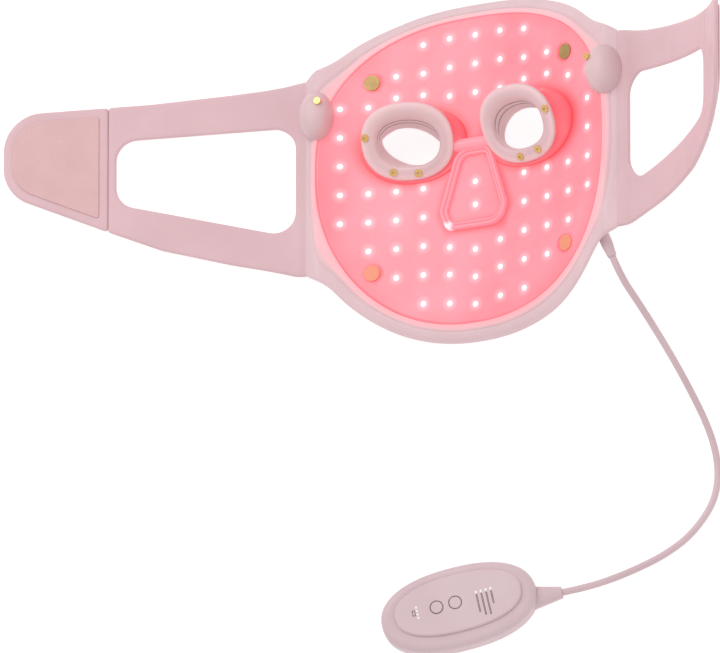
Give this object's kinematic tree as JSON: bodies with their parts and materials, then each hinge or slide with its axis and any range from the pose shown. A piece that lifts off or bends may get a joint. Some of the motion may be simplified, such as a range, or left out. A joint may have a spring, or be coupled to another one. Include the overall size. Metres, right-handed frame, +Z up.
{
  "type": "light therapy face mask",
  "caption": "Flexible lit face mask with padded eye cups, two head straps and a hand controller on a short cord; it rests on the face and shines on the skin.",
  "frame": {"origin": "on the table under the middle of the whole object, mask lying on its outer side", "axes": "+X towards the curled right strap, +Y towards the forehead, +Z up from the table"},
  "size_m": [0.4671, 0.3994, 0.2486],
  "materials": {
    "rim_silicone": "matt silicone",
    "lit_face": "satin, translucent",
    "flex_board": "satin",
    "led_white": "gloss",
    "cup_silicone": "matt silicone",
    "gold": "polished",
    "frame_pink": "satin, translucent",
    "contact_gold": "brushed",
    "pod_pink": "satin, translucent",
    "strap_silicone": "matt silicone",
    "hook_fabric": "fine hooks and loops",
    "gland_rubber": "matt",
    "cord_jacket": "satin",
    "case_pink": "satin moulded",
    "panel_pink": "satin moulded",
    "button_pink": "satin moulded",
    "board_green": "satin",
    "switch_black": "satin",
    "battery_foil": "satin",
    "bright_steel": "brushed"
  },
  "bodies": {
    "mask": {"outer_shell": "rim_silicone", "faceplate": "lit_face", "led_board": "flex_board", "led_chips": "led_white", "left_eye_cup": "cup_silicone", "right_eye_cup": "cup_silicone", "left_eyelets": "gold", "right_eyelets": "gold", "eye_frame": "frame_pink", "forehead_contacts": "contact_gold", "cheek_contacts": "contact_gold", "temple_pins": "gold", "left_temple_pod": "pod_pink", "right_temple_pod": "pod_pink", "cable_gland": "gland_rubber", "control_cord": "cord_jacket", "cord_collar": "case_pink", "controller_base": "case_pink", "controller_cover": "case_pink", "control_panel": "panel_pink", "mode_lamps": "led_white", "charge_lamps": "led_white", "circuit_board": "board_green", "tact_switches": "switch_black", "battery_cell": "battery_foil", "usb_socket": "bright_steel", "case_screws": "bright_steel"},
    "left_strap": {"left_strap_arm": "strap_silicone"},
    "left_tab": {"left_strap_tab": "strap_silicone", "hook_pad": "hook_fabric"},
    "right_strap": {"right_strap_arm": "strap_silicone"},
    "right_tab": {"right_strap_tab": "strap_silicone", "loop_pad": "hook_fabric"},
    "mode_button": {"mode_button": "button_pink"},
    "power_button": {"power_button": "button_pink"}
  },
  "joints": [
    {"name": "left_strap_fold", "type": "hinge", "parent": "mask", "child": "left_strap", "pos_m": [-0.05356, 0.0872, 0.0015], "axis": [0, 1, 0], "range_deg": [-10, 70], "stiffness_Nm_per_rad": 1},
    {"name": "left_tab_fold", "type": "hinge", "parent": "left_strap", "child": "left_tab", "pos_m": [-0.16956, 0.0872, 0.0015], "axis": [0, 1, 0], "range_deg": [-20, 60], "stiffness_Nm_per_rad": 0.6},
    {"name": "right_strap_fold", "type": "hinge", "parent": "mask", "child": "right_strap", "pos_m": [0.15864, 0.0872, 0.08718], "axis": [0, -1, 0], "range_deg": [-40, 35], "stiffness_Nm_per_rad": 1},
    {"name": "right_tab_fold", "type": "hinge", "parent": "right_strap", "child": "right_tab", "pos_m": [0.21855, 0.0872, 0.18541], "axis": [0, -1, 0], "range_deg": [-45, 45], "stiffness_Nm_per_rad": 0.6},
    {"name": "mode_button_press", "type": "slide", "parent": "mask", "child": "mode_button", "axis": [0, 0, -1], "range_m": [0, 0.0005], "stiffness_N_per_m": 800},
    {"name": "power_button_press", "type": "slide", "parent": "mask", "child": "power_button", "axis": [0, 0, -1], "range_m": [0, 0.0005], "stiffness_N_per_m": 800}
  ]
}
